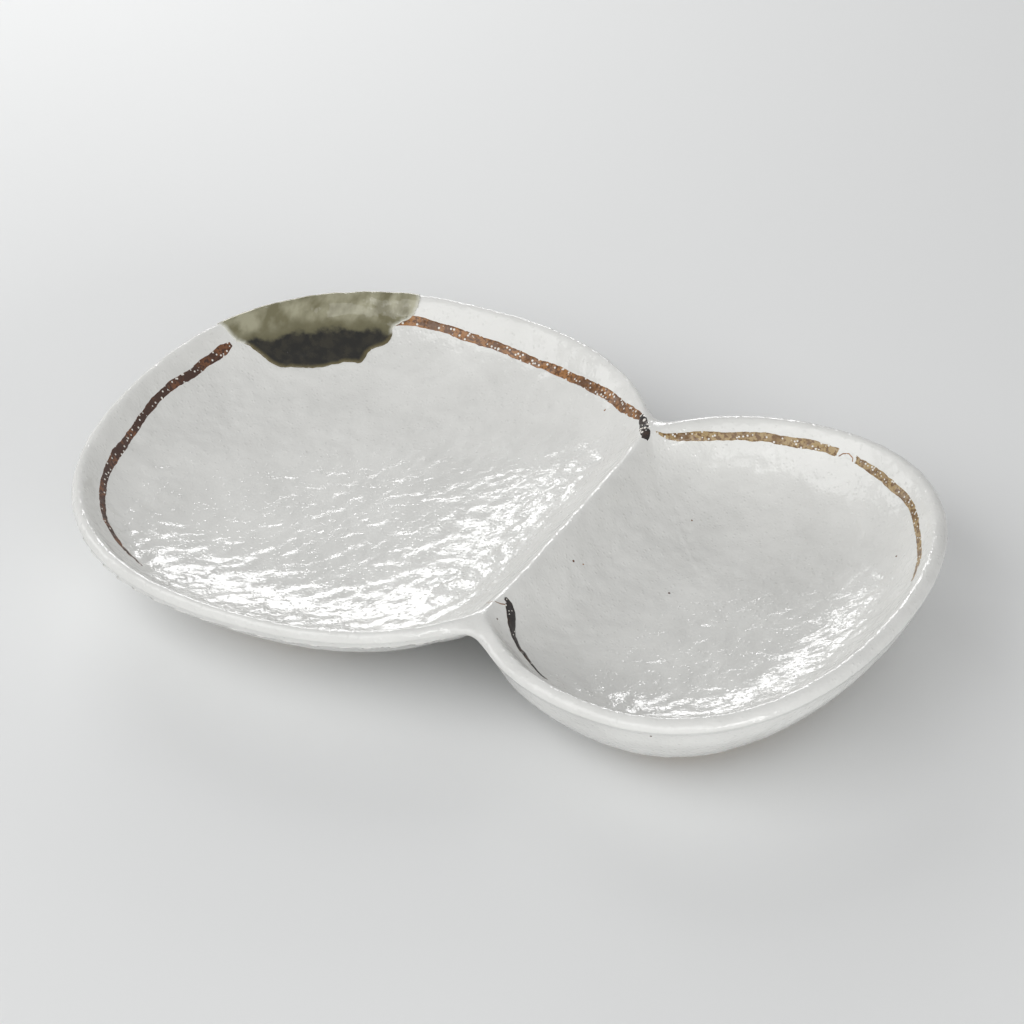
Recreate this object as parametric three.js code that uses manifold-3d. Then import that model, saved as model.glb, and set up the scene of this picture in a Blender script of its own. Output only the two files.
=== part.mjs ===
// A two-bowl serving plate of pressed stoneware, gourd shaped in plan: a large and a small bowl share one low
// partition. The clay is fired with two foot rings luted under it, and its glazes and iron brush lines lie on it
// as thin layers. Millimetres, +Z up, X from the large bowl to the small one, and the feet stand on z = 0.
import * as THREE from "three";
import { mergeVertices } from "three/addons/utils/BufferGeometryUtils.js";
import Module from "manifold-3d";

const wasm = await Module();
wasm.setup();

// Each bowl's mouth is a squared oval about a point on the X axis, turned a little as the clay was pressed.
// taper widens it towards +X. lipWidth is how far the rounded lip reaches past the mouth, dishRun is the plan
// distance over which the wall comes down to the floor, underCurve is how quickly the outer wall does so, and
// footInset is how far the foot ring stands in from the mouth.
const LARGE = {
  centreX: -43.5,
  halfLength: 74.9,
  halfWidth: 81.7,
  squareness: 2.33,
  turn: THREE.MathUtils.degToRad(1.4),
  taper: 0,
  lipWidth: 1.2,
  dishRun: 66,
  underCurve: 3.3,
  footInset: 34,
};
const SMALL = {
  centreX: 62.5,
  halfLength: 56.6,
  halfWidth: 72.2,
  squareness: 2.19,
  turn: THREE.MathUtils.degToRad(-3),
  taper: 0.07,
  lipWidth: 2.4,
  dishRun: 42,
  underCurve: 3.9,
  footInset: 26,
};
const FOOT_SQUARENESS = 2.2;

// Heights, and the curves of the bowls: a short steep edge under the rim's crest, then a long shallow dish.
const RIM_HEIGHT = 31.4;
const EDGE_DEPTH = 4.8;
const EDGE_RUN = 7;
const EDGE_CURVE = 1.6;
const CREST_ROUND = 2; // roundness of the crest on the food side
const DISH_DEPTH = 15.7;
const DISH_CURVE = 2.6;
const BOWL_DEPTH = EDGE_DEPTH + DISH_DEPTH;

// The partition sags a little between its ends, which reach the rim's height at the waist.
const PARTITION_SAG = 2.2;
const SAG_CURVE = 4;
const PARTITION_ROUND = 1.8; // radius of its crest
const PARTITION_EDGE = 2.4; // height of the steeper edge on either side of its crest
const PARTITION_EDGE_RUN = 5;
const PARTITION_THICKNESS = 5.5; // from its crest straight down to the hollow under it
const SIDE_CHANGE = 14; // how far on either side of the partition one bowl's wall turns into the other's
const FILLET = 3;

// The lip is a rounded edge from the crest outwards. At the waist it widens into a web between the two bowls.
const LIP_DROP = 2; // from the crest down to the lip's widest line
const LIP_TURN = THREE.MathUtils.degToRad(150); // how far the rounded edge turns under
const WAIST_EDGE = 1.5; // softening of the corner between the two mouths
const WAIST_FILLET = 17; // softening of the notch between the two lobes, seen from outside

// Underside and feet.
const FLOOR_THICKNESS = 5;
const UNDER_LIP = 3.2; // where the outer wall starts, under the crest
const HOLLOW_ROUND = 6; // roundness of the hollow under the partition
const FOOT_WIDTH = 5;
const FOOT_DRAFT = 1; // how much a foot narrows on each side towards the table
const BARE_CLAY = 1.5; // unglazed strip beside each foot

// Layers on the clay.
const GLAZE_THICKNESS = 0.6;
const IRON_THICKNESS = 0.25;
const GREEN_THICKNESS = 0.5;

// How finely the surfaces are divided.
const STATION_SPACING = 11.5;
const STATION_TURN = THREE.MathUtils.degToRad(16);
const FINE_STEPS = 720;
const PARTITION_STEPS = 10;
const LIP_STEPS = 6;
const EDGE_RINGS = [1.2, 3.2, 6, 10, 16]; // plan distances of the bowls' rings inside the crest
const INNER_RINGS = [0.25, 0.55, 0.82]; // further rings, as shares of the way from the last of those to the middle

const clamp = (v, low, high) => Math.min(high, Math.max(low, v));
const softMax = (a, b, blend) => {
  const share = clamp(0.5 + (a - b) / (2 * blend), 0, 1);
  return b + (a - b) * share + blend * share * (1 - share);
};
const bisect = (isBelow, low, high) => {
  for (let i = 0; i < 40; i += 1) {
    const middle = (low + high) / 2;
    if (isBelow(middle)) low = middle;
    else high = middle;
  }
  return low;
};

// How far out a point is in a squared oval that is grown by some width: 1 on its edge.
const ovalLevel = (oval, x, y, grow = 0) => {
  const along = (x - oval.centreX) * Math.cos(oval.turn) + y * Math.sin(oval.turn);
  const across = y * Math.cos(oval.turn) - (x - oval.centreX) * Math.sin(oval.turn);
  const halfWidth = oval.halfWidth * (1 + (oval.taper * along) / oval.halfLength) + grow;
  const length = Math.abs(along / (oval.halfLength + grow)) ** oval.squareness;
  return (length + Math.abs(across / halfWidth) ** oval.squareness) ** (1 / oval.squareness);
};
const widthAt = (oval, x) => {
  const side = (sign) => bisect((y) => ovalLevel(oval, x, sign * y) < 1, 0, 2 * oval.halfWidth);
  return side(1) + side(-1);
};

// The partition stands where the two mouths are equally wide.
const PARTITION_X = bisect(
  (x) => widthAt(LARGE, x) > widthAt(SMALL, x),
  SMALL.centreX - SMALL.halfLength,
  LARGE.centreX + LARGE.halfLength,
);

// The whole outline as seen from the middle of the partition.
function outlinePoint(angle, grow, blend) {
  const reach = (oval) =>
    bisect(
      (r) => ovalLevel(oval, PARTITION_X + r * Math.cos(angle), r * Math.sin(angle), grow(oval)) < 1,
      0,
      2 * (oval.halfLength + oval.halfWidth),
    );
  const r = softMax(reach(LARGE), reach(SMALL), blend);
  return new THREE.Vector2(PARTITION_X + r * Math.cos(angle), r * Math.sin(angle));
}
const crestPoint = (angle) => outlinePoint(angle, () => 0, WAIST_EDGE);
const lipPoint = (angle) => outlinePoint(angle, (oval) => oval.lipWidth, WAIST_FILLET);

// Each bowl has half of the outline: the large one from the waist's back to its front, and the small one from
// there on.
const halfTurn = (from) => Array.from({ length: FINE_STEPS + 1 }, (_, i) => from + (Math.PI * i) / FINE_STEPS);
const LARGE_TURN = halfTurn(Math.PI / 2);
const SMALL_TURN = halfTurn(-Math.PI / 2);

// Stations round a half of the outline: closer together where the lip bends more.
function stationAngles(angles) {
  const line = angles.map(lipPoint);
  const measure = [0];
  for (let i = 1; i <= FINE_STEPS; i += 1) {
    const step = line[i].clone().sub(line[i - 1]);
    const next = i < FINE_STEPS ? line[i + 1].clone().sub(line[i]) : step;
    const turn = Math.abs(Math.atan2(step.cross(next), step.dot(next)));
    measure.push(measure[i - 1] + step.length() / STATION_SPACING + turn / STATION_TURN);
  }
  const count = Math.round(measure[FINE_STEPS]);
  const wanted = Array.from({ length: count }, (_, k) => (measure[FINE_STEPS] * k) / count);
  return wanted.map((w) => angles[measure.findIndex((m) => m >= w)]);
}

const LARGE_ANGLES = stationAngles(LARGE_TURN);
const SMALL_ANGLES = stationAngles(SMALL_TURN);
const ANGLES = [...LARGE_ANGLES, ...SMALL_ANGLES];
const COUNT = ANGLES.length;
const CREST = ANGLES.map(crestPoint);
const LIP_EDGE = ANGLES.map(lipPoint);
const PARTITION_BACK = CREST[0].y;
const PARTITION_FRONT = CREST[LARGE_ANGLES.length].y;

function distanceTo(outline, x, y) {
  let best = Infinity;
  outline.forEach((a, i) => {
    const b = outline[(i + 1) % outline.length];
    const abx = b.x - a.x;
    const aby = b.y - a.y;
    const share = clamp(((x - a.x) * abx + (y - a.y) * aby) / (abx * abx + aby * aby), 0, 1);
    best = Math.min(best, Math.hypot(x - a.x - share * abx, y - a.y - share * aby));
  });
  return best;
}

// The share of a drop that is done at a plan distance: steep at first, level at the end of the run.
const fall = (distance, run, curve) => 1 - (1 - clamp(distance / run, 0, 1)) ** curve;

const sideShare = (x) => THREE.MathUtils.smoothstep(x, PARTITION_X - SIDE_CHANGE, PARTITION_X + SIDE_CHANGE);
const bowlValue = (key, x) => THREE.MathUtils.lerp(LARGE[key], SMALL[key], sideShare(x));
const sag = (y) => {
  const share = clamp(y / (y > 0 ? PARTITION_BACK : PARTITION_FRONT), 0, 1);
  return PARTITION_SAG * (1 - share ** SAG_CURVE);
};
const fromPartition = (x, round) => Math.hypot(x - PARTITION_X, round) - round;

// Height of the food side of the clay.
function foodHeight(x, y) {
  const inset = distanceTo(CREST, x, y);
  const within = Math.hypot(inset, CREST_ROUND) - CREST_ROUND;
  const wallEdge = EDGE_DEPTH * fall(within, EDGE_RUN, EDGE_CURVE);
  const run = bowlValue("dishRun", x);
  const wall = RIM_HEIGHT - wallEdge - DISH_DEPTH * fall(within, run, DISH_CURVE);
  const away = fromPartition(x, PARTITION_ROUND);
  const top = RIM_HEIGHT - sag(y) - PARTITION_EDGE * fall(away, PARTITION_EDGE_RUN, EDGE_CURVE);
  const dish = BOWL_DEPTH - sag(y) - PARTITION_EDGE;
  const partition = top - dish * fall(away, run, DISH_CURVE);
  return softMax(wall, partition, Math.min(FILLET, inset));
}

// Height of the underside of the clay, without its feet.
const BASE_HEIGHT = RIM_HEIGHT - BOWL_DEPTH - FLOOR_THICKNESS;
function underHeight(x, y) {
  const run = bowlValue("dishRun", x) + bowlValue("lipWidth", x);
  const curve = bowlValue("underCurve", x);
  const wallTop = RIM_HEIGHT - UNDER_LIP;
  const wall = wallTop - (wallTop - BASE_HEIGHT) * fall(distanceTo(LIP_EDGE, x, y), run, curve);
  const hollowTop = RIM_HEIGHT - sag(y) - PARTITION_THICKNESS;
  const hollow = hollowTop - (hollowTop - BASE_HEIGHT) * fall(fromPartition(x, HOLLOW_ROUND), run, curve);
  return softMax(wall, hollow, FILLET);
}

// The clay's whole skin as shared vertices, and its faces listed by the surface that they belong to.
const vertices = [];
const food = [];
const lip = [];
const under = [];
const bareClay = [];
const addVertex = (x, y, z) => vertices.push(new THREE.Vector3(x, y, z)) - 1;

// A strip of faces between two closed loops of as many vertices, and one from a loop to a point.
function strip(faces, outer, inner) {
  outer.forEach((a, i) => {
    const j = (i + 1) % outer.length;
    faces.push([a, outer[j], inner[j]], [a, inner[j], inner[i]]);
  });
}
function fan(faces, loop, centre) {
  loop.forEach((a, i) => faces.push([a, loop[(i + 1) % loop.length], centre]));
}

// The partition's crest, or the hollow under it, as points from the waist's front to its back.
function partitionLine(height) {
  return Array.from({ length: PARTITION_STEPS - 1 }, (_, k) => {
    const share = (1 - Math.cos((Math.PI * (k + 1)) / PARTITION_STEPS)) / 2;
    const y = THREE.MathUtils.lerp(PARTITION_FRONT, PARTITION_BACK, share);
    return addVertex(PARTITION_X, y, height(PARTITION_X, y));
  });
}

// The closed loop round one bowl: its own stations, then the partition's line. depths holds how far each point's
// side of the bowl lies from the bowl's middle, half way between its far end and the partition.
function bowlLoop(oval, ring, line) {
  const isLarge = oval === LARGE;
  const first = isLarge ? 0 : LARGE_ANGLES.length;
  const own = (isLarge ? LARGE_ANGLES : SMALL_ANGLES).length;
  const farEnd = oval.centreX + (isLarge ? -1 : 1) * oval.halfLength;
  const middle = new THREE.Vector2((farEnd + PARTITION_X) / 2, 0);
  const stations = Array.from({ length: own + 1 }, (_, k) => (first + k) % COUNT);
  const loop = [...stations.map((i) => ring[i]), ...(isLarge ? line : [...line].reverse())];
  const depths = loop.map((_, k) => {
    if (k === 0 || k >= own) return Math.abs(PARTITION_X - middle.x);
    const i = stations[k];
    const along = CREST[(i + 1) % COUNT].clone().sub(CREST[i - 1]).normalize();
    return Math.abs(along.cross(CREST[i].clone().sub(middle)));
  });
  return { loop, depths, middle };
}

// Food side of both bowls.
const crestRing = CREST.map((p) => addVertex(p.x, p.y, RIM_HEIGHT));
const crestLine = partitionLine(foodHeight);
for (const oval of [LARGE, SMALL]) {
  const { loop, depths, middle } = bowlLoop(oval, crestRing, crestLine);
  const lastEdge = EDGE_RINGS.at(-1);
  const insets = [
    ...EDGE_RINGS.map((inset) => () => inset),
    ...INNER_RINGS.map((share) => (depth) => THREE.MathUtils.lerp(lastEdge, depth, share)),
  ];
  let outer = loop;
  for (const inset of insets) {
    const inner = loop.map((index, k) => {
      const share = 1 - inset(depths[k]) / depths[k];
      const x = THREE.MathUtils.lerp(middle.x, vertices[index].x, share);
      const y = vertices[index].y * share;
      return addVertex(x, y, foodHeight(x, y));
    });
    strip(food, outer, inner);
    outer = inner;
  }
  fan(food, outer, addVertex(middle.x, 0, foodHeight(middle.x, 0)));
}

// Lip, from the crest round to its underside.
let lipRing = crestRing;
for (let k = 1; k <= LIP_STEPS; k += 1) {
  const turn = (LIP_TURN * k) / LIP_STEPS;
  const ring = CREST.map((crest, i) => {
    const p = crest.clone().lerp(LIP_EDGE[i], Math.sin(turn));
    return addVertex(p.x, p.y, RIM_HEIGHT - LIP_DROP * (1 - Math.cos(turn)));
  });
  strip(lip, ring, lipRing);
  lipRing = ring;
}
const underCrest = CREST.map((p) => addVertex(p.x, p.y, underHeight(p.x, p.y)));
strip(under, underCrest, lipRing);

// Underside of each bowl, down to its foot, and what lies inside the foot.
function footedUnderside(oval, line) {
  const { loop, middle } = bowlLoop(oval, underCrest, line);
  const footOval = {
    centreX: middle.x,
    halfLength: Math.abs(PARTITION_X - middle.x) - oval.footInset,
    halfWidth: oval.halfWidth - oval.footInset,
    squareness: FOOT_SQUARENESS,
    turn: oval.turn,
    taper: 0,
  };
  const footLoop = (grow, height) =>
    loop.map((index) => {
      const share = 1 / ovalLevel(footOval, vertices[index].x, vertices[index].y, grow);
      const x = THREE.MathUtils.lerp(middle.x, vertices[index].x, share);
      const y = vertices[index].y * share;
      return addVertex(x, y, height ?? underHeight(x, y));
    });
  const between = (from, to, share, height) =>
    from.map((index, k) => {
      const p = vertices[index].clone().lerp(vertices[to[k]], share);
      return addVertex(p.x, p.y, height ?? underHeight(p.x, p.y));
    });
  const glazeEdge = footLoop(BARE_CLAY);
  const upper = between(loop, glazeEdge, 0.3);
  const lower = between(loop, glazeEdge, 0.65);
  const rootOut = footLoop(0);
  const rootIn = footLoop(-FOOT_WIDTH, BASE_HEIGHT);
  const baseEdge = footLoop(-FOOT_WIDTH - BARE_CLAY, BASE_HEIGHT);
  const centre = addVertex(middle.x, 0, BASE_HEIGHT);
  const baseMiddle = between(baseEdge, baseEdge.map(() => centre), 0.5, BASE_HEIGHT);
  const tableOut = footLoop(-FOOT_DRAFT, 0);
  const tableIn = footLoop(FOOT_DRAFT - FOOT_WIDTH, 0);
  const joint = [];
  const foot = [];
  const base = [];
  strip(under, upper, loop);
  strip(under, lower, upper);
  strip(under, glazeEdge, lower);
  strip(bareClay, rootOut, glazeEdge);
  strip(joint, rootIn, rootOut);
  strip(bareClay, baseEdge, rootIn);
  strip(base, baseMiddle, baseEdge);
  fan(base, [...baseMiddle].reverse(), centre);
  strip(foot, tableOut, rootOut);
  strip(foot, tableIn, tableOut);
  strip(foot, rootIn, tableIn);
  foot.push(...joint.map(([a, b, c]) => [a, c, b]));
  return { joint, foot, base };
}
const hollowLine = partitionLine(underHeight);
const largeUnder = footedUnderside(LARGE, hollowLine);
const smallUnder = footedUnderside(SMALL, hollowLine);
const clay = [
  ...food, ...lip, ...under, ...bareClay,
  ...largeUnder.joint, ...smallUnder.joint, ...largeUnder.base, ...smallUnder.base,
];

// The skin moved out along its own normals.
function grown(points, distance) {
  const normals = points.map(() => new THREE.Vector3());
  for (const [a, b, c] of clay) {
    const ab = points[b].clone().sub(points[a]);
    const normal = ab.cross(points[c].clone().sub(points[a]));
    for (const i of [a, b, c]) normals[i].add(normal);
  }
  return points.map((p, i) => p.clone().addScaledVector(normals[i].normalize(), distance));
}

function geometryOf(corners) {
  const position = new THREE.Float32BufferAttribute(corners.flatMap((p) => p.toArray()), 3);
  return new THREE.BufferGeometry().setAttribute("position", position);
}
const bodyGeometry = (faces) => geometryOf(faces.flat().map((i) => vertices[i]));

// A thin closed solid between some faces on one skin and the same faces on another that lies outside it.
function layerGeometry(faces, inner, outer) {
  const corners = [];
  const rims = new Map();
  for (const [a, b, c] of faces) {
    corners.push(outer[a], outer[b], outer[c], inner[a], inner[c], inner[b]);
    for (const [s, e] of [[a, b], [b, c], [c, a]]) {
      if (!rims.delete(`${e},${s}`)) rims.set(`${s},${e}`, [s, e]);
    }
  }
  for (const [s, e] of rims.values()) {
    corners.push(outer[s], inner[s], inner[e], outer[s], inner[e], outer[e]);
  }
  return geometryOf(corners);
}

const GLAZED = grown(vertices, GLAZE_THICKNESS);

// A mark on the glaze: what of a thin layer over the food side and lip lies inside an outline in plan, and
// outside the outlines of the marks that it meets.
function toSolid(geometry) {
  const bare = geometry.clone();
  bare.deleteAttribute("normal");
  bare.deleteAttribute("uv");
  const merged = mergeVertices(bare);
  const vertProperties = new Float32Array(merged.attributes.position.array);
  const triVerts = new Uint32Array(merged.index.array);
  return new wasm.Manifold(new wasm.Mesh({ numProp: 3, vertProperties, triVerts }));
}
function prism(outline) {
  const shape = new THREE.Shape(outline);
  return toSolid(new THREE.ExtrudeGeometry(shape, { depth: 2 * RIM_HEIGHT, bevelEnabled: false }));
}
function markGeometry(thickness, outline, ...neighbours) {
  const coat = toSolid(layerGeometry([...food, ...lip], GLAZED, grown(GLAZED, thickness)));
  const whole = coat.intersect(prism(outline));
  const mesh = neighbours.reduce((solid, other) => solid.subtract(prism(other)), whole).getMesh();
  const geometry = new THREE.BufferGeometry();
  geometry.setAttribute("position", new THREE.BufferAttribute(mesh.vertProperties, 3));
  geometry.setIndex(new THREE.BufferAttribute(mesh.triVerts, 1));
  return geometry;
}

// Each bowl's half of the crest as a curve. A place near it is given by the share of the way along and the plan
// distance inside it, a place near the waist by its offset from the partition's end.
const crestCurve = (turn) => new THREE.SplineCurve(turn.filter((_, i) => i % 10 === 0).map(crestPoint));
const LARGE_CREST = crestCurve(LARGE_TURN);
const SMALL_CREST = crestCurve(SMALL_TURN);
function rimPlaces(curve, places) {
  return places.map(([share, inset, width = 0]) => {
    const tangent = curve.getTangentAt(share);
    const p = curve.getPointAt(share);
    return new THREE.Vector3(p.x - tangent.y * inset, p.y + tangent.x * inset, width);
  });
}
const waistPlaces = (end, places) => places.map(([x, y, width]) => new THREE.Vector3(end.x + x, end.y + y, width));

// A brush line through places with widths, narrowed to its ends.
function brushOutline(places) {
  const line = new THREE.CatmullRomCurve3(places);
  const steps = 3 * places.length;
  const left = [];
  const right = [];
  for (let i = 0; i <= steps; i += 1) {
    const p = line.getPointAt(i / steps);
    const t = line.getTangentAt(i / steps);
    const side = new THREE.Vector2(-t.y, t.x).normalize().multiplyScalar(p.z / 2);
    left.push(new THREE.Vector2(p.x, p.y).add(side));
    right.push(new THREE.Vector2(p.x, p.y).sub(side));
  }
  return [...left, ...right.reverse()];
}

// The green pour runs over the lip and down into the large bowl, and pools with a lobed edge.
const POUR_OVER = -6; // past the lip
const pourLine = new THREE.CatmullRomCurve3(
  rimPlaces(LARGE_CREST, [
    [0.26, POUR_OVER], [0.29, POUR_OVER], [0.32, POUR_OVER], [0.35, POUR_OVER], [0.38, POUR_OVER],
    [0.4035, POUR_OVER], [0.403, 2.5], [0.4, 4.9], [0.391, 6.9], [0.3835, 10.8], [0.374, 14.8], [0.355, 16.8],
    [0.327, 18], [0.312, 17.4], [0.297, 18], [0.288, 14], [0.273, 12], [0.269, 7], [0.256, 4.8], [0.251, 1.5],
  ]),
  true,
);
const greenOutline = pourLine.getPoints(57).slice(1).map((p) => new THREE.Vector2(p.x, p.y));

// The iron lines: two in the large bowl, on either side of the pour, one in the small bowl, a knot where they
// cross the waist at the back, and a drop that starts beside the partition's front end.
const leftLine = brushOutline(
  rimPlaces(LARGE_CREST, [
    [0.4055, 5, 0.8], [0.4095, 5.2, 1.9], [0.43, 5.8, 1.8], [0.484, 5.5, 1.5], [0.52, 6.1, 1.5], [0.558, 6.5, 1.9],
    [0.6, 6.25, 1.6], [0.645, 7, 1.5], [0.67, 8.3, 1.5], [0.69, 9.7, 1.1], [0.712, 11.3, 0.5],
  ]),
);
const backLine = brushOutline(
  rimPlaces(LARGE_CREST, [
    [0.272, 6.4, 1.2], [0.263, 5.6, 2], [0.244, 5.9, 1.7], [0.212, 6.6, 1.9], [0.181, 7.3, 2], [0.144, 7.7, 2],
    [0.119, 7.3, 2], [0.081, 5.9, 1.9], [0.056, 4.9, 1.7], [0.031, 3.1, 2], [0.019, 1.6, 1.9], [0.013, 0.9, 1.2],
  ]),
);
const smallLine = brushOutline(
  rimPlaces(SMALL_CREST, [
    [0.994, 1.6, 0.4], [0.986, 2.5, 0.9], [0.959, 3.5, 1.4], [0.926, 3.9, 1.2], [0.892, 4, 1.4], [0.842, 4.1, 1.4],
    [0.8, 4.3, 1.1], [0.759, 4.8, 1.3], [0.709, 4.8, 1.2], [0.676, 4.9, 1], [0.65, 5.2, 1], [0.608, 4.3, 0.9],
    [0.57, 4, 0.4],
  ]),
);
const knot = brushOutline([
  ...rimPlaces(LARGE_CREST, [[0.0185, 1, 1], [0.015, 1.1, 2], [0.0095, 1.1, 2.6]]),
  ...waistPlaces(CREST[0], [[-1.1, -0.4, 2.8], [0.5, -2.2, 2.7], [1.2, -4.2, 1.4]]),
]);
const frontDrop = brushOutline(
  waistPlaces(CREST[LARGE_ANGLES.length], [
    [1.4, 10.7, 0.8], [2.5, 11.2, 2.2], [3.7, 10, 2.4], [5, 7.8, 2.1], [6.4, 5.5, 1.7], [8.6, 3.3, 1.3],
    [11.7, 1.5, 1.1], [15.8, -0.5, 0.8], [21.7, -2.8, 0.4],
  ]),
);

const stoneware = { color: 0xb9a48c, roughness: 0.9, metalness: 0 };
const whiteGlaze = { color: 0xe4e4e1, roughness: 0.25, metalness: 0 };
const darkIron = { color: 0x4a2c1c, roughness: 0.4, metalness: 0 };
const brownIron = { color: 0x7a4f2e, roughness: 0.4, metalness: 0 };
const ochreIron = { color: 0x9a7a4a, roughness: 0.4, metalness: 0 };
const greenGlaze = { color: 0x4b4f38, roughness: 0.15, metalness: 0 };

const plate = new THREE.Group();
plate.name = "two_bowl_plate";
function addPiece(name, geometry, finish) {
  const piece = new THREE.Mesh(geometry, new THREE.MeshStandardMaterial(finish));
  piece.name = name;
  plate.add(piece);
}

addPiece("clay_body", bodyGeometry(clay), stoneware);
addPiece("foot_ring_large", bodyGeometry(largeUnder.foot), stoneware);
addPiece("foot_ring_small", bodyGeometry(smallUnder.foot), stoneware);
addPiece("white_glaze_coat", layerGeometry([...food, ...lip, ...under], vertices, GLAZED), whiteGlaze);
addPiece("base_glaze_large", layerGeometry(largeUnder.base, vertices, GLAZED), whiteGlaze);
addPiece("base_glaze_small", layerGeometry(smallUnder.base, vertices, GLAZED), whiteGlaze);
addPiece("green_glaze_pool", markGeometry(GREEN_THICKNESS, greenOutline), greenGlaze);
addPiece("iron_line_large_left", markGeometry(IRON_THICKNESS, leftLine, greenOutline), darkIron);
addPiece("iron_line_large_back", markGeometry(IRON_THICKNESS, backLine, greenOutline, knot), brownIron);
addPiece("iron_line_small", markGeometry(IRON_THICKNESS, smallLine, knot), ochreIron);
addPiece("iron_knot_back", markGeometry(IRON_THICKNESS, knot), darkIron);
addPiece("iron_drop_front", markGeometry(IRON_THICKNESS, frontDrop), darkIron);

// The origin is under the middle of the plate's bounding box.
const middle = new THREE.Box3().setFromObject(plate).getCenter(new THREE.Vector3());
plate.children.forEach((piece) => piece.geometry.translate(-middle.x, -middle.y, 0));

export default plate;
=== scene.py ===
import math

import bmesh
import bpy
from mathutils import Matrix, Vector, noise
from mathutils.bvhtree import BVHTree
from mathutils.kdtree import KDTree


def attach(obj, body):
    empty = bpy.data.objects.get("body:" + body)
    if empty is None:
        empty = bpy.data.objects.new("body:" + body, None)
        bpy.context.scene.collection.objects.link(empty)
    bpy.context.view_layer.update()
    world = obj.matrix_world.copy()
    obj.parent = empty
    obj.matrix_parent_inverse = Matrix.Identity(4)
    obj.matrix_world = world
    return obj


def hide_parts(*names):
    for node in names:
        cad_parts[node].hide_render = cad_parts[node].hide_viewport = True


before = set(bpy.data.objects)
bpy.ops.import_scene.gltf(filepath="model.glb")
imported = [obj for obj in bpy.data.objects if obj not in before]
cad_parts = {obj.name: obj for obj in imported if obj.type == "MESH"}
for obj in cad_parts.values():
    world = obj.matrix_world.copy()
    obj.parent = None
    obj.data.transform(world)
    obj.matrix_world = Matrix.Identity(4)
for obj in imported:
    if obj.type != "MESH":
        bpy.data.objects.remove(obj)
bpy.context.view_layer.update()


# The clay: grey-buff stoneware, pressed over a mould, trimmed, and fired once before glazing. It shows only
# as a bare strip beside each foot, where the glaze was wiped off so that it could not stick to the kiln
# shelf.
MM = 0.001
WELD = 0.002 * MM
NEARLY_FLAT = 0.7  # angle between two triangles that are paired up, in radians
ANY_SHAPE = 2.5  # how far their quad may be from a square, in radians
FITTING_ROUNDS = 3  # in which a smooth surface is drawn back to the corners of its mesh
FITTING_LEVELS = 2
CLAY_INSET = 0.25  # mm that the clay is moved in under the glaze, so that no ripple lays it bare
INSET_FROM = 8  # mm over the table
INSET_FULLY = 12


def linear(colour):
    """An sRGB hex colour as linear red, green, blue and alpha."""
    channels = [int(colour[i:i + 2], 16) / 255 for i in (1, 3, 5)]
    return (*[c / 12.92 if c <= 0.04045 else ((c + 0.055) / 1.055) ** 2.4 for c in channels], 1.0)


def add(tree, kind, settings=None, **inputs):
    """Adds one node. An input is a value, or a socket of an earlier node to link from. It goes by its name,
    with _ for a space, or by its number after a _."""
    node = tree.nodes.new(kind)
    for key, value in (settings or {}).items():
        setattr(node, key, value)
    for key, value in inputs.items():
        socket = node.inputs[int(key[1:])] if key[0] == "_" else node.inputs[key.replace("_", " ")]
        if isinstance(value, bpy.types.NodeSocket):
            tree.links.new(value, socket)
        else:
            socket.default_value = value
    return node


def new_material(name, colour, roughness):
    """A material with one Principled shader."""
    material = bpy.data.materials.new(name)
    material.use_nodes = True
    shader = material.node_tree.nodes["Principled BSDF"]
    shader.inputs["Base Color"].default_value = linear(colour)
    shader.inputs["Roughness"].default_value = roughness
    return material, material.node_tree, shader


def grain(tree, millimetres, detail):
    """Noise with grains of about the given size, from 0 to 1."""
    place = add(tree, "ShaderNodeTexCoord").outputs["Object"]
    node = add(tree, "ShaderNodeTexNoise", Vector=place, Scale=1 / (millimetres * MM), Detail=detail)
    return node.outputs["Fac"]


def ramp(tree, factor, *stops):
    """A colour ramp through (position, hex colour) stops."""
    node = add(tree, "ShaderNodeValToRGB", Fac=factor)
    elements = node.color_ramp.elements
    while len(elements) < len(stops):
        elements.new(0.5)
    for element, (position, colour) in zip(elements, stops):
        element.position = position
        element.color = linear(colour)
    return node.outputs["Color"]


def relief(tree, shader, *layers):
    """Bump from (height, distance in mm) layers, one on another."""
    normal = None
    for height, distance in layers:
        bump = add(tree, "ShaderNodeBump", Height=height, Distance=distance * MM)
        if normal:
            tree.links.new(normal, bump.inputs["Normal"])
        normal = bump.outputs["Normal"]
    tree.links.new(normal, shader.inputs["Normal"])


def merged(node):
    """A working copy of a CAD node's mesh with its loose triangles joined up."""
    bm = bmesh.new()
    bm.from_mesh(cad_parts[node].data)
    bmesh.ops.remove_doubles(bm, verts=bm.verts, dist=WELD)
    bm.normal_update()
    return bm


def paired(node):
    """The same with its nearly flat pairs of triangles made into quads."""
    bm = merged(node)
    bmesh.ops.join_triangles(bm, faces=bm.faces, angle_face_threshold=NEARLY_FLAT,
                             angle_shape_threshold=ANY_SHAPE)
    return bm


def show(name, bm, material, slot, *nodes):
    """Makes a piece of the plate from a bmesh, in place of a CAD node if it has one."""
    mesh = bpy.data.meshes.new(name)
    bm.to_mesh(mesh)
    bm.free()
    mesh.shade_smooth()
    mesh.materials.append(material)
    piece = bpy.data.objects.new(name, mesh)
    bpy.context.collection.objects.link(piece)
    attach(piece, "root")
    if nodes:
        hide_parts(*nodes)


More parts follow.
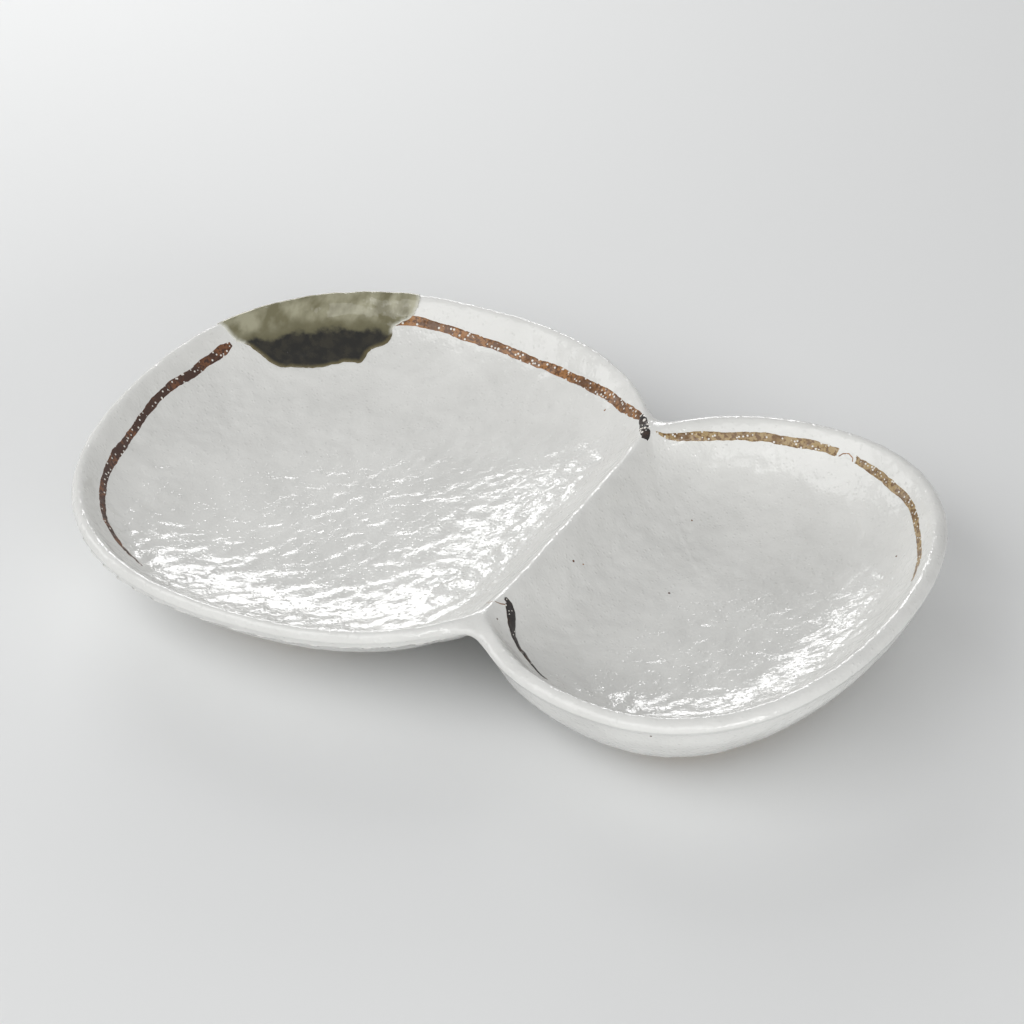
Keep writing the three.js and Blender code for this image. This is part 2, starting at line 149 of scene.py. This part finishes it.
def smoothed(bm, levels):
    """A subdivision surface of the mesh that still passes through its corners."""
    mesh = bpy.data.meshes.new("smoothing")
    bm.to_mesh(mesh)
    bm.free()
    cage = bpy.data.objects.new("smoothing", mesh)
    bpy.context.collection.objects.link(cage)
    modifier = cage.modifiers.new("smoothing", "SUBSURF")
    corners = [v.co.copy() for v in mesh.vertices]
    modifier.levels = FITTING_LEVELS
    for _ in range(FITTING_ROUNDS):
        fine = cage.evaluated_get(bpy.context.evaluated_depsgraph_get()).to_mesh()
        reached = [fine.vertices[i].co.copy() for i in range(len(corners))]
        for i, vertex in enumerate(mesh.vertices):
            vertex.co += corners[i] - reached[i]
        cage.to_mesh_clear()
        mesh.update()
    modifier.levels = levels
    out = bmesh.new()
    out.from_mesh(cage.evaluated_get(bpy.context.evaluated_depsgraph_get()).to_mesh())
    bpy.data.objects.remove(cage)
    bpy.data.meshes.remove(mesh)
    return out


def smooth_step(value, low, high):
    """0 below low, 1 above high, and smooth between."""
    share = min(1.0, max(0.0, (value - low) / (high - low)))
    return share * share * (3 - 2 * share)


bare_clay, tree, shader = new_material("bare_fired_stoneware", "#b8a286", 0.85)
grit = grain(tree, 1.2, detail=6.0)
tree.links.new(ramp(tree, grit, (0.3, "#9c8468"), (0.7, "#cbb698")), shader.inputs["Base Color"])
relief(tree, shader, (grit, 0.2))

body = smoothed(paired("clay_body"), levels=1)
body.normal_update()
for vertex, normal in [(v, v.normal.copy()) for v in body.verts]:
    vertex.co -= normal * smooth_step(vertex.co.z / MM, INSET_FROM, INSET_FULLY) * CLAY_INSET * MM
show("clay", body, bare_clay, "stoneware", "clay_body")

# The feet: two rings of the same clay, rolled and luted on while the body was leather hard, then turned
# true. Their edges were rubbed round with a wet finger.
RUBBED = 0.5 * MM
SHARP = 0.9  # angle between two faces, in radians
for side in ("large", "small"):
    ring = paired(f"foot_ring_{side}")
    sharp = [e for e in ring.edges if e.calc_face_angle() > SHARP]
    bmesh.ops.bevel(ring, geom=sharp, offset=RUBBED, segments=2, profile=0.5, affect="EDGES", material=-1)
    ring = smoothed(ring, levels=2)
    for vertex in ring.verts:
        vertex.co.z = max(vertex.co.z, 0)
    show(f"foot_{side}", ring, bare_clay, "stoneware", f"foot_ring_{side}")


# The white glaze: a thick milky feldspar glaze, dipped and drained, that set with small ripples, and with
# fine bumps where bubbles stopped just under its skin.
LEAST_DEPTH = 0.09  # mm that the crests of its waves lie under the CAD's skin
MOST_DEPTH = 0.45
WAVE_DIRECTION = Matrix.Rotation(math.radians(-67), 3, "Z")
WAVE_LENGTH = 1.6  # how much longer than wide the waves are
STEEP_EDGE = (21, 27)  # mm over the table, from the dish to the crest
CALMER_ON_EDGE = 0.5
SMALL_BOWL = (12, 30)  # mm from the origin along the plate, across the partition
CALMER_IN_SMALL_BOWL = 0.15
LEFT_OUTSIDE = 0.35  # share of the waves on the plate's outside
MESH_SPACING = 1.4 * MM
DISH_TOP = 26.5 * MM
DISH_ROUNDS = 40
UNDER_LIP = (23.5 * MM, 29 * MM)
UNDER_LIP_ROUNDS = 25
BUBBLE_SPACING = 1.6 * MM
BORDER_RISE = 0.7 * MM
FOLD = 1.0  # angle between two faces, in radians, at which a skin ends
MOST_HALVINGS = 8


def step(tree, value, low, high):
    """0 up to low, 1 from high on, and smooth between. Low may be the greater of the two."""
    return add(tree, "ShaderNodeMapRange", {"interpolation_type": "SMOOTHSTEP"}, Value=value,
               From_Min=low, From_Max=high).outputs["Result"]


def top_skin(bm):
    """The faces that are reached from the highest one without crossing a sharp edge."""
    start = max((f for f in bm.faces if f.normal.z > 0.5), key=lambda f: f.calc_center_median().z)
    found, queue = {start}, [start]
    while queue:
        for edge in queue.pop().edges:
            if len(edge.link_faces) == 2 and edge.calc_face_angle() < FOLD:
                for face in edge.link_faces:
                    if face not in found:
                        found.add(face)
                        queue.append(face)
    return found


def even(bm, spacing, wanted=lambda edge: True):
    """Halves the wanted edges until none is longer than the spacing."""
    for _ in range(MOST_HALVINGS):
        long = [e for e in bm.edges if e.calc_length() > spacing and wanted(e)]
        if not long:
            break
        bmesh.ops.subdivide_edges(bm, edges=long, cuts=1, use_single_edge=True)
        bmesh.ops.triangulate(bm, faces=[f for f in bm.faces if len(f.verts) > 3])
        bm.normal_update()


def ripple(p, normal):
    """The height of the glaze over the CAD's skin, in metres: below 0. The large bowl's floor waves most."""
    q = p / MM
    strength = 1 - CALMER_ON_EDGE * smooth_step(q.z, *STEEP_EDGE)
    strength *= 1 - CALMER_IN_SMALL_BOWL * smooth_step(q.x, *SMALL_BOWL)
    strength *= LEFT_OUTSIDE + (1 - LEFT_OUTSIDE) * smooth_step(normal.z, -0.1, 0.3)
    along = WAVE_DIRECTION @ q
    along.x /= WAVE_LENGTH
    broad = noise.noise(along / 6 + Vector((3.1, 0, 0)))
    middle = noise.noise(along / 2.9 + Vector((0, 7.7, 0)))
    small = noise.noise(q / 1.6 + Vector((0, 0, 5.3)))
    height = strength * (0.25 * broad + 0.35 * middle + 0.1 * small - 0.22)
    return (min(0.0, max(LEAST_DEPTH - MOST_DEPTH, height)) - LEAST_DEPTH) * MM


white_glaze, tree, shader = new_material("milky_feldspar_glaze", "#dededb", 0.1)
cloud = grain(tree, 16.0, detail=3.0)
tree.links.new(ramp(tree, cloud, (0.3, "#d9d9d6"), (0.7, "#e3e3e0")), shader.inputs["Base Color"])
place = add(tree, "ShaderNodeTexCoord").outputs["Object"]
bubbles = add(tree, "ShaderNodeTexVoronoi", Vector=place, Scale=1 / BUBBLE_SPACING).outputs["Distance"]
bumps = step(tree, bubbles, 0.36, 0.0)
broad_grain = grain(tree, 2.0, detail=2.0)
fine_grain = grain(tree, 1.0, detail=2.0)
relief(tree, shader, (broad_grain, 0.07), (bumps, 0.09), (fine_grain, 0.06))

# The coat is first only its outer skin. The dishes, and the curve under the lip, are rubbed smooth before the
# ripples come in.
coat = paired("white_glaze_coat")
outer = top_skin(coat)
bmesh.ops.delete(coat, geom=[f for f in coat.faces if f not in outer], context="FACES")
coat = smoothed(coat, levels=2)
coat.normal_update()
even(coat, MESH_SPACING, lambda edge: edge.verts[0].normal.z + edge.verts[1].normal.z > 0)
coat.normal_update()
dishes = [v for v in coat.verts if v.co.z < DISH_TOP and v.normal.z > 0.3]
under_lip = [v for v in coat.verts if UNDER_LIP[0] < v.co.z < UNDER_LIP[1] and v.normal.z < 0.1]
for verts, rounds in ((dishes, DISH_ROUNDS), (under_lip, UNDER_LIP_ROUNDS)):
    for _ in range(rounds):
        bmesh.ops.smooth_vert(coat, verts=verts, factor=0.5, use_axis_x=True, use_axis_y=True,
                              use_axis_z=True)
coat.normal_update()
for vertex, normal in [(v, v.normal.copy()) for v in coat.verts]:
    vertex.co += normal * ripple(vertex.co, normal)
coat.normal_update()
surface = BVHTree.FromBMesh(coat)

# Then its lower borders are turned up inside the clay and closed.
borders = [e for e in coat.edges if e.is_boundary]
turned_up = bmesh.ops.extrude_edge_only(coat, edges=borders)["geom"]
for vertex in (part for part in turned_up if isinstance(part, bmesh.types.BMVert)):
    vertex.co.z += BORDER_RISE
open_edges = [part for part in turned_up if isinstance(part, bmesh.types.BMEdge) and part.is_boundary]
bmesh.ops.holes_fill(coat, edges=open_edges, sides=0)
show("white_glaze", coat, white_glaze, "white_glaze", "white_glaze_coat")

# The same glaze inside each foot ring. It was brushed on after the feet were wiped clean, and it leaves a
# bare strip beside the foot.
for side in ("large", "small"):
    patch = smoothed(paired(f"base_glaze_{side}"), levels=2)
    show(f"base_glaze_{side}_fine", patch, white_glaze, "white_glaze", f"base_glaze_{side}")


# The green glaze: copper green, poured over a short stretch of the rim. It is thin and olive on the steep
# edge, and ran down into a thick, almost black pool with a lobed edge.
THINNING = 0.5  # mm from its border over which a mark thins out
SUNK = 0.03 * MM  # how far its border lies under the white glaze's skin
ROOT = 0.28 * MM  # how far it reaches down into the white glaze
FINE_WANDER = 1.6 * MM  # sizes of the bends in a mark's edge
BROAD_WANDER = 6 * MM
POOL_TOP = (20.5 * MM, 21.7 * MM)  # the levels between which the pool turns into the thin glaze
BELT_TOP = (21.4 * MM, 24.5 * MM)  # and the darker belt over the pool into the streaks
LEVEL_WANDER = 5 * MM
STREAK_DIRECTION = (0, 0, math.radians(-42))
STREAK_WIDTH = 4.5 * MM
STREAK_LENGTH = 8 * MM
OUTSIDE = (-0.66, 0.75, 0)  # the way that the rim faces there
noise.seed_set(3)  # without a seed, noise_vector starts from the clock


def mix(tree, factor, a, b):
    """Mixes two colours."""
    return add(tree, "ShaderNodeMix", {"data_type": "RGBA"}, _0=factor, _6=a, _7=b).outputs[2]


def laid(bm, thickness):
    """Lays a sheet on the white glaze as a thin closed skin that thins out towards its border."""
    border = [v for v in bm.verts if v.is_boundary]
    lookup = KDTree(len(border))
    for i, vertex in enumerate(border):
        lookup.insert(vertex.co, i)
    lookup.balance()
    inside = bm.verts.layers.float.new("inside")
    for vertex in bm.verts:
        _, _, distance = lookup.find(vertex.co)
        vertex[inside] = distance / MM
    doubled = bmesh.ops.extrude_face_region(bm, geom=bm.faces[:], use_keep_orig=True)["geom"]
    underside = {part for part in doubled if isinstance(part, bmesh.types.BMVert)}
    for vertex in bm.verts:
        place, normal, _, _ = surface.find_nearest(vertex.co)
        share = min(1.0, vertex[inside] / THINNING)
        height = -ROOT if vertex in underside else thickness * share * (2 - share) - SUNK
        vertex.co = place + normal * height
    bmesh.ops.recalc_face_normals(bm, faces=bm.faces[:])


def film(node, name, material, slot, thickness, spacing, wander, gap=None):
    """A mark on the white glaze with an uneven edge. A gap is a place and the radius left bare there."""
    bm = merged(node)
    top = top_skin(bm)
    bmesh.ops.delete(bm, geom=[f for f in bm.faces if f not in top], context="FACES")
    even(bm, spacing)
    for vertex in bm.verts:
        fine = noise.noise_vector(vertex.co / FINE_WANDER) * wander
        broad = noise.noise_vector(vertex.co / BROAD_WANDER) * wander * 2
        vertex.co += fine + broad
    if gap:
        place, radius = gap
        bared = [f for f in bm.faces if (f.calc_center_median() - place).length < radius]
        bmesh.ops.delete(bm, geom=bared, context="FACES")
    laid(bm, thickness)
    show(name, bm, material, slot, node)


# Its colour follows a wandering level, streaks that run downhill, the distance from its border, and painted
# shade where it faces outward over the rim.
green_glaze, tree, shader = new_material("copper_green_glaze", "#4b4f38", 0.06)
place = add(tree, "ShaderNodeTexCoord")
height = add(tree, "ShaderNodeVectorMath", {"operation": "DOT_PRODUCT"}, _0=place.outputs["Object"],
             _1=(0.07, 0, 1)).outputs["Value"]
level = add(tree, "ShaderNodeMath", {"operation": "MULTIPLY_ADD"}, _0=grain(tree, 6.0, detail=4.0),
            _1=LEVEL_WANDER, _2=height).outputs[0]
downhill = add(tree, "ShaderNodeMapping", Vector=place.outputs["Object"], Rotation=STREAK_DIRECTION,
               Scale=(1 / STREAK_WIDTH, 1 / STREAK_LENGTH, 1 / STREAK_LENGTH)).outputs["Vector"]
drips = add(tree, "ShaderNodeTexNoise", Vector=downhill, Scale=1.0, Detail=3.0).outputs["Fac"]
outward_shade = add(tree, "ShaderNodeVectorMath", {"operation": "DOT_PRODUCT"}, _0=place.outputs["Normal"],
              _1=OUTSIDE).outputs["Value"]
inside = add(tree, "ShaderNodeAttribute", {"attribute_name": "inside"}).outputs["Fac"]
thin = ramp(tree, drips, (0.36, "#716d52"), (0.62, "#a3a088"))
thin = mix(tree, step(tree, level, *BELT_TOP), linear("#68644a"), thin)
# Painted shade: the green is darker where it faces outward over the rim's far edge.
thin = mix(tree, step(tree, outward_shade, 0.3, 0.7), thin, linear("#5d5d45"))
thin = mix(tree, step(tree, inside, 0.0, 1.5), linear("#d2d2c8"), thin)
clouds = step(tree, grain(tree, 3.0, detail=4.0), 0.4, 0.65)
pool = mix(tree, clouds, linear("#191813"), linear("#2d2a20"))
pool = mix(tree, step(tree, inside, 0.2, 1.6), linear("#665d3e"), pool)
tree.links.new(mix(tree, step(tree, level, *POOL_TOP), pool, thin), shader.inputs["Base Color"])
relief(tree, shader, (drips, 0.15), (grain(tree, 2.0, detail=2.0), 0.06))
film("green_glaze_pool", "green_pour", green_glaze, "green_glaze", thickness=0.3 * MM, spacing=0.7 * MM,
     wander=0.35 * MM)


# The iron lines: iron oxide brushed on under the white glaze, which bled up through it as it melted. It is
# dark where the brush left most, ochre where little, and dotted white where bubbles rose through it.
LINE = {"thickness": 0.12 * MM, "spacing": 0.4 * MM, "wander": 0.22 * MM}
DAB = {"thickness": 0.16 * MM, "spacing": 0.4 * MM}
LINE_GAP = (Vector((72.4, 67.7, 27.4)) * MM, 2.9 * MM)
FROTH_SPACING = 1.3 * MM


def iron(name, dark, pale, share, froth):
    """An iron brown between a dark and a pale colour. The share is how much of it is dark, and froth how big
    its white bubbles are, as a share of their spacing."""
    material, tree, shader = new_material(name, dark, 0.2)
    inside = add(tree, "ShaderNodeAttribute", {"attribute_name": "inside"}).outputs["Fac"]
    clouds = step(tree, grain(tree, 5.0, detail=3.0), share - 0.12, share + 0.12)
    grains = step(tree, grain(tree, 1.0, detail=2.0), 0.45, 0.62)
    colour = mix(tree, clouds, linear(dark), linear(pale))
    colour = mix(tree, grains, colour, linear(dark))
    colour = mix(tree, step(tree, inside, 0.0, 0.25), linear(pale), colour)
    place = add(tree, "ShaderNodeTexCoord").outputs["Object"]
    cells = add(tree, "ShaderNodeTexVoronoi", Vector=place, Scale=1 / FROTH_SPACING).outputs["Distance"]
    bubble = step(tree, cells, froth + 0.04, froth - 0.04)
    tree.links.new(mix(tree, bubble, colour, linear("#e6e2da")), shader.inputs["Base Color"])
    relief(tree, shader, (grain(tree, 1.1, detail=2.0), 0.12), (bubble, 0.08))
    return material


dark_iron = iron("dark_iron_oxide", dark="#40261a", pale="#74492c", share=0.56, froth=0.24)
brown_iron = iron("brown_iron_oxide", dark="#603e22", pale="#9c6c3c", share=0.46, froth=0.26)
ochre_iron = iron("ochre_iron_oxide", dark="#6f5230", pale="#a68e64", share=0.4, froth=0.24)
black_iron = iron("black_iron_oxide", dark="#1b1411", pale="#46301f", share=0.6, froth=0.17)
frothy_iron = iron("frothy_black_iron_oxide", dark="#191310", pale="#3b2a20", share=0.6, froth=0.34)
film("iron_line_large_left", "iron_line_left", dark_iron, "iron_oxide", **LINE)
film("iron_line_large_back", "iron_line_back", brown_iron, "iron_oxide", **LINE)
film("iron_line_small", "iron_line_small_bowl", ochre_iron, "iron_oxide", **LINE, gap=LINE_GAP)
film("iron_knot_back", "iron_knot", frothy_iron, "iron_oxide", **DAB, wander=0.3 * MM)
film("iron_drop_front", "iron_drop", black_iron, "iron_oxide", **DAB, wander=0.2 * MM)

# Splashes: fine hairs that the brush left where it only touched the glaze, and specks where grains of iron
# melted through it. All are the same iron oxide as the lines. Their places are in millimetres.
HAIRS = (
    ((12.4, -40.8, 30.5), (14.0, -39.9, 30.2), (16.4, -42.2, 30.0), (18.6, -43.9, 29.9), (20.6, -41.9, 29.3),
     (21.7, -40.0, 28.3)),
    ((70.0, 67.6, 27.0), (71.2, 68.3, 27.9), (72.9, 68.5, 28.3), (74.35, 67.8, 27.7), (74.5, 66.9, 27.0)),
    ((76.4, 67.65, 28.0), (77.4, 67.0, 27.6)),
)
HAIR_WIDTH = 0.5 * MM
SPLASH_THICKNESS = 0.1 * MM
SPLASH_SPACING = 0.25 * MM
PALE_SPECKS = (((27.6, -5.9, 22.4), 0.35), ((-0.3, 60.9, 24.6), 0.45), ((40.4, 35.6, 15.6), 0.4))
DARK_SPECKS = (((25.6, -8.1, 24.1), 0.45), ((48.6, 5.0, 13.1), 0.45), ((22.8, -47.3, 29.0), 0.4),
               ((100.6, 40.4, 20.2), 0.4), ((81.3, -72.0, 27.1), 0.4))


def speck(bm, place, radius):
    """A round spot that lies on the white glaze."""
    place, normal, _, _ = surface.find_nearest(Vector(place) * MM)
    turned = normal.to_track_quat("Z", "Y").to_matrix().to_4x4()
    bmesh.ops.create_circle(bm, cap_ends=True, cap_tris=True, segments=12, radius=radius * MM,
                            matrix=Matrix.Translation(place) @ turned)


def hair(bm, places):
    """A fine stroke through some places of the white glaze."""
    across = None
    for i, place in enumerate(places):
        ahead = Vector(places[min(i + 1, len(places) - 1)]) - Vector(places[max(i - 1, 0)])
        place, normal, _, _ = surface.find_nearest(Vector(place) * MM)
        side = normal.cross(ahead).normalized() * HAIR_WIDTH / 2
        if across is None:
            across = bm.edges.new((bm.verts.new(place + side), bm.verts.new(place - side)))
        else:
            grown = bmesh.ops.extrude_edge_only(bm, edges=[across])["geom"]
            across = next(e for e in grown if isinstance(e, bmesh.types.BMEdge))
            across.verts[0].co = place + side
            across.verts[1].co = place - side


SPLASHES = (
    ("pale_splashes", brown_iron, PALE_SPECKS, HAIRS),
    ("dark_splashes", dark_iron, DARK_SPECKS, ()),
)
for name, material, specks, hairs in SPLASHES:
    bm = bmesh.new()
    for place, radius in specks:
        speck(bm, place, radius)
    for places in hairs:
        hair(bm, places)
    bm.normal_update()
    upside_down = [f for f in bm.faces if f.normal.dot(surface.find_nearest(f.calc_center_median())[1]) < 0]
    bmesh.ops.reverse_faces(bm, faces=upside_down)
    even(bm, SPLASH_SPACING)
    laid(bm, SPLASH_THICKNESS)
    show(name, bm, material, "iron_oxide")

# The table top under the plate: one sheet of plain pale card, wide enough to fill the picture and to send
# light up under the rim.
CARD_WIDTH = 6  # metres, like the places and sizes of the lamps
bpy.ops.mesh.primitive_plane_add(size=CARD_WIDTH)
floor = bpy.context.object
floor.name = "floor"
paper, tree, shader = new_material("matte_white_card", "#e6e7e7", 0.9)
floor.data.materials.append(paper)

# The light: a pale room that looks brighter in the glaze than the light it gives, and five soft lamps: in
# front, beside the camera, low on the left and on the right, and a small one near the plate on its left that
# the glaze does not mirror. A window stands low behind the plate. Its reflection breaks up in the ripples.
ROOM_LIGHT = 0.25
MIRRORED_ROOM_LIGHT = 0.4  # on top of that
world = bpy.data.worlds.new("pale_room")
bpy.context.scene.world = world
world.use_nodes = True
tree = world.node_tree
mirrored = add(tree, "ShaderNodeLightPath").outputs["Is Glossy Ray"]
strength = add(tree, "ShaderNodeMath", {"operation": "MULTIPLY_ADD"}, _0=mirrored, _1=MIRRORED_ROOM_LIGHT,
               _2=ROOM_LIGHT).outputs[0]
background = tree.nodes["Background"]
background.inputs["Color"].default_value = linear("#ffffff")
tree.links.new(strength, background.inputs["Strength"])


def soft_lamp(name, place, width, height, power, mirrored=True):
    """A rectangular lamp that faces the plate, and that shows in the glaze if it is mirrored."""
    lamp = bpy.data.lights.new(name, "AREA")
    lamp.shape = "RECTANGLE"
    lamp.size = width
    lamp.size_y = height
    lamp.energy = power
    lamp_object = bpy.data.objects.new(name, lamp)
    lamp_object.location = place
    lamp_object.rotation_euler = (-Vector(place)).to_track_quat("-Z", "Y").to_euler()
    lamp_object.visible_glossy = mirrored
    bpy.context.collection.objects.link(lamp_object)


soft_lamp("front_lamp", (-0.5, -0.9, 1.0), width=1.4, height=1.0, power=9.0)
soft_lamp("lamp_by_the_camera", (0.7, -1.3, 1.1), width=1.2, height=1.0, power=6.3)
soft_lamp("low_left_lamp", (-1.2, -0.2, 0.35), width=0.6, height=0.5, power=1.9)
soft_lamp("low_right_lamp", (1.2, -0.6, 0.35), width=0.8, height=0.5, power=6.5)
soft_lamp("near_left_lamp", (-0.45, 0.35, 0.35), width=0.3, height=0.3, power=0.95, mirrored=False)
soft_lamp("window", (-0.6, 1.0, 0.29), width=0.5, height=0.34, power=3.0)

# The camera: a long lens, as in a catalogue picture, from the front and to the right. Its angles are fitted
# to the rim's outline in the photograph, and its aim to the pixel that the middle of the rim falls on.
AZIMUTH = math.radians(27.87)
ELEVATION = math.radians(35.29)
DISTANCE = 1.5
PIXELS_PER_METRE = 3620
FRAME_PIXELS = 1024
RIM_CENTRE = Vector((0, 0, 32 * MM))
RIM_CENTRE_PIXEL = (505.1, 497.2)
SENSOR_WIDTH = 36  # mm
NEAREST_SEEN = 0.01
right = Vector((math.cos(AZIMUTH), math.sin(AZIMUTH), 0))
ahead = Vector((-math.sin(AZIMUTH), math.cos(AZIMUTH), 0))
look = ahead * math.cos(ELEVATION) - Vector((0, 0, math.sin(ELEVATION)))
up = right.cross(look)
camera = bpy.data.cameras.new("camera")
camera.sensor_width = SENSOR_WIDTH
camera.lens = PIXELS_PER_METRE * DISTANCE * SENSOR_WIDTH / FRAME_PIXELS
camera.clip_start = NEAREST_SEEN
camera_object = bpy.data.objects.new("camera", camera)
bpy.context.collection.objects.link(camera_object)
aim = RIM_CENTRE.copy()
aim += right * (FRAME_PIXELS / 2 - RIM_CENTRE_PIXEL[0]) / PIXELS_PER_METRE
aim -= up * (FRAME_PIXELS / 2 - RIM_CENTRE_PIXEL[1]) / PIXELS_PER_METRE
turned = Matrix((right, up, -look)).transposed().to_4x4()
camera_object.matrix_world = Matrix.Translation(aim - look * DISTANCE) @ turned
bpy.context.scene.camera = camera_object
bpy.context.scene.view_settings.view_transform = "Standard"
